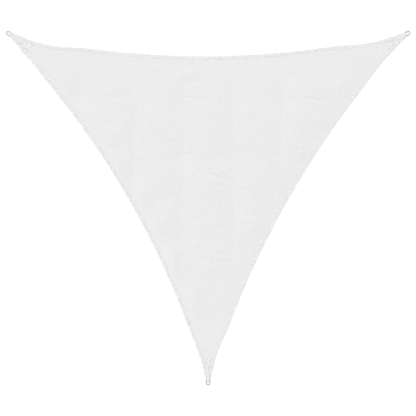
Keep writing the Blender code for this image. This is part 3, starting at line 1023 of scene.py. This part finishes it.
def build_loop(corner, material):
    """The webbing, with coordinates across and along it for its weave."""
    profile, section = loop_profile(), band_section()
    run = run_along(profile)
    tangent = unit(np.gradient(profile, axis=0))
    outward = -left_of(tangent)
    rings = []
    for across, up in section:
        spot = profile + outward * up
        rings.append(np.column_stack([spot[:, 0], np.full(len(spot), across), spot[:, 1]]))
    places = corner_to_sail(corner, np.stack(rings))
    rows, columns = len(section), len(profile)
    faces = grid_faces(rows, columns, closed=True).tolist()
    ends = [[row * columns + column for row in range(rows)] for column in (0, columns - 1)]
    webbing = add_mesh(f"webbing_{corner.name}", places.reshape(-1, 3), faces + ends, material, sharp=SHARP)
    layer = webbing.data.uv_layers.new(name="band")
    for loop in webbing.data.loops:
        row, column = divmod(loop.vertex_index, columns)
        layer.data[loop.index].uv = (section[row][0], run[column])
    return face_outwards(webbing)


BOX_INSETS = (0.008, 0.005, 0.003)  # of the stitched box: from the tip's end, the webbing's end, its sides
TACKS = (0.0025, 0.005)  # from the box to the rows of tacks


def loop_stitches(corner, material):
    """A stitched box with a cross in it, and two rows of tacks beside the bar."""
    top = TIP_LIFT + HEM_THICKNESS + GAP + WEBBING_THICKNESS
    near, far = TIP_END_X + BOX_INSETS[0], LOOP_END_X - BOX_INSETS[1]
    half = WEBBING_WIDTH / 2 - BOX_INSETS[2]
    posts = [(near, -half), (far, -half), (far, half), (near, half), (near, -half), (far, half)]
    lines = list(zip(posts, posts[1:])) + [((near, half), (far, -half))]
    lines += [((near - x, -half), (near - x, half)) for x in TACKS]
    rows = []
    for first, last in lines:
        path = np.array([(*first, top), (*last, top)])
        rows.append(stitched_line(corner_to_sail(corner, path), LOOP_STITCH, LOOP_STITCH_GAP))
    return add_stitches(f"webbing_stitches_{corner.name}", rows, material)


# ---- Rings ----
RING_SIDES = 24
WELD = (0.60 * BAR_X, RING_RADIUS)  # on one leg
WELD_SWELL = 0.09  # the wire is thicker there by this share
WELD_LENGTH = 0.0016


def arc(centre_x, centre_y, radius, first, last, steps):
    angles = np.radians(np.linspace(first, last, steps))
    return np.column_stack([centre_x + radius * np.cos(angles), centre_y + radius * np.sin(angles)])


def ring_line():
    """The middle of the ring's wire: a half-round bow, two legs and a straight bar with bent corners."""
    bend_x, bend_y = BAR_X - RING_CORNER, RING_RADIUS - RING_CORNER
    legs = np.linspace(0, bend_x, 6)[1:-1]
    bar = np.linspace(-bend_y, bend_y, 10)[1:-1]
    return np.concatenate([
        arc(0, 0, RING_RADIUS, 90, 270, 49),
        np.column_stack([legs, np.full(4, -RING_RADIUS)]),
        arc(bend_x, -bend_y, RING_CORNER, -90, 0, 9),
        np.column_stack([np.full(8, BAR_X), bar]),
        arc(bend_x, bend_y, RING_CORNER, 0, 90, 9),
        np.column_stack([legs[::-1], np.full(4, RING_RADIUS)]),
    ])


def build_ring(corner, material):
    """The welded ring, its bar up in the webbing and its bow down on the ground, with a weld on one leg."""
    line = ring_line()
    tangent = unit(np.roll(line, -1, axis=0) - np.roll(line, 1, axis=0))
    outward = -left_of(tangent)
    swollen = 1 + WELD_SWELL * np.exp(-((np.linalg.norm(line - WELD, axis=1) / WELD_LENGTH) ** 2))
    bar_z = WEBBING_THICKNESS + GAP + WIRE_RADIUS
    drop = math.asin((bar_z - WIRE_RADIUS) / (BAR_X + RING_RADIUS))
    rings = []
    for k in range(RING_SIDES):
        angle = 2 * math.pi * k / RING_SIDES
        flat = line + outward * (WIRE_RADIUS * math.cos(angle) * swollen)[:, None]
        up = WIRE_RADIUS * math.sin(angle) * swollen
        back = flat[:, 0] - BAR_X
        x = BAR_X + back * math.cos(drop) - up * math.sin(drop)
        z = bar_z + back * math.sin(drop) + up * math.cos(drop)
        rings.append(np.column_stack([x, flat[:, 1], z]))
    places = corner_to_sail(corner, np.stack(rings, axis=1))
    count = len(line)
    here = np.arange(count)[:, None] * RING_SIDES + np.arange(RING_SIDES)[None]
    beside = np.roll(here, -1, axis=1)
    faces = np.stack([here, beside, np.roll(beside, -1, axis=0), np.roll(here, -1, axis=0)], axis=-1)
    ring = add_mesh(f"ring_{corner.name}", places.reshape(-1, 3), faces.reshape(-1, 4), material)
    return face_outwards(ring)


# ---- Cut cloth ----
CUT_CORNER = 0.120  # from an edge's ends, where the cut runs straight across the corner
PATCH_SPLAY = 15  # degrees between the patch's sides and its middle line


def cut_shape():
    """Width, length and area of the cloth as cut, with the hem's allowance outside the finished edge."""
    outline = []
    for edge in EDGES:
        along = np.linspace(CUT_CORNER, edge_frame(edge)[3] - CUT_CORNER, 200)
        outline.append(edge_point(edge, along, -HEM_WIDTH))
    outline = np.concatenate(outline)
    ahead = np.roll(outline, -1, axis=0)
    area = abs((outline[:, 0] * ahead[:, 1] - outline[:, 1] * ahead[:, 0]).sum()) / 2
    size = outline.max(axis=0) - outline.min(axis=0)
    return float(size[0]), float(size[1]), float(area)


def patch_shape(index):
    """Width, length and area of a patch as cut."""
    wide, narrow = patch_width(index, PATCH_LENGTH), patch_width(index, 0.0)
    length = PATCH_LENGTH * math.cos(math.radians(PATCH_SPLAY))
    return wide, length, length * (wide + narrow) / 2


# ---- Stage ----
def add_floor():
    bpy.ops.mesh.primitive_plane_add(size=FLOOR_SIZE, location=(0, 0, -FLOOR_DROP))
    floor = bpy.context.active_object
    floor.name = "studio_floor"
    floor.data.materials.append(floor_material())


def add_camera():
    data = bpy.data.cameras.new("camera")
    data.lens = LENS_MM
    data.sensor_width = SENSOR_MM
    camera = add_object("camera", data)
    camera.location = (0, 0, PICTURE_WIDTH * LENS_MM / SENSOR_MM)
    bpy.context.scene.camera = camera


SUN_STRENGTH = 1.525
SUN_RISE = 48  # degrees above the ground
SUN_FROM = 136  # degrees from +X, anticlockwise: from the upper left
SUN_ANGLE = 18  # degrees across, as a large soft light
SKY_LOW = 0.960  # strength of the light all round
SKY_HIGH = 0.617  # and from straight above


def add_light():
    data = bpy.data.lights.new("soft_key", "SUN")
    data.energy = SUN_STRENGTH
    data.angle = math.radians(SUN_ANGLE)
    rise, turn = math.radians(SUN_RISE), math.radians(SUN_FROM)
    towards = Vector((math.cos(rise) * math.cos(turn), math.cos(rise) * math.sin(turn), math.sin(rise)))
    add_object("soft_key", data).rotation_euler = towards.to_track_quat("Z", "Y").to_euler()


def add_sky():
    """A plain studio: pale all round, darker overhead."""
    world = bpy.data.worlds.new("studio")
    bpy.context.scene.world = world
    world.use_nodes = True
    nodes, links = world.node_tree.nodes, world.node_tree.links
    coordinates = nodes.new("ShaderNodeTexCoord")
    split = nodes.new("ShaderNodeSeparateXYZ")
    ramp = nodes.new("ShaderNodeMapRange")
    ramp.inputs["To Min"].default_value = SKY_LOW
    ramp.inputs["To Max"].default_value = SKY_HIGH
    links.new(coordinates.outputs["Generated"], split.inputs[0])
    links.new(split.outputs["Z"], ramp.inputs["Value"])
    links.new(ramp.outputs[0], nodes["Background"].inputs["Strength"])
    nodes["Background"].inputs["Color"].default_value = (1, 1, 1, 1)


# ---- The whole sail ----
CLOTH_COLOUR = (0.772, 0.772, 0.772)
HEM_COLOUR = (0.765, 0.765, 0.765)


def main():
    bpy.context.scene.view_settings.view_transform = "Standard"
    add_camera()
    add_light()
    add_sky()
    add_floor()
    cloth = knit("white_knit", CLOTH_COLOUR, 0)
    spotted_hem = knit("white_knit_hem_spotted", HEM_COLOUR, 31, MOIRE_STRONG)
    plain_hem = knit("white_knit_hem", HEM_COLOUR, 31, MOIRE_WEAK)
    patch_cloth = knit("white_knit_patch", CLOTH_COLOUR, 58, MOIRE_STRONG)
    thread, webbing, steel = thread_material(), webbing_material(), steel_material()
    panel = dress(build_panel(cloth), "cloth", "sail_cloth")
    for edge in EDGES:
        hem_cloth = spotted_hem if edge.name == "left" else plain_hem
        dress(build_hem(edge, hem_cloth), "cloth")
        dress(hem_stitches(edge, thread), "cloth")
    for index, corner in enumerate(CORNERS):
        patch = dress(build_patch(index, patch_cloth), "cloth", f"corner_patch_{corner.name}")
        sewn = dress(patch_stitches(index, thread), "cloth")
        wide, long, area = patch_shape(index)
        dress(build_loop(corner, webbing), "webbing", f"ring_loop_{corner.name}")
        dress(loop_stitches(corner, thread), "webbing")
        dress(build_ring(corner, steel), "steel", f"d_ring_{corner.name}")
    wide, long, area = cut_shape()


main()
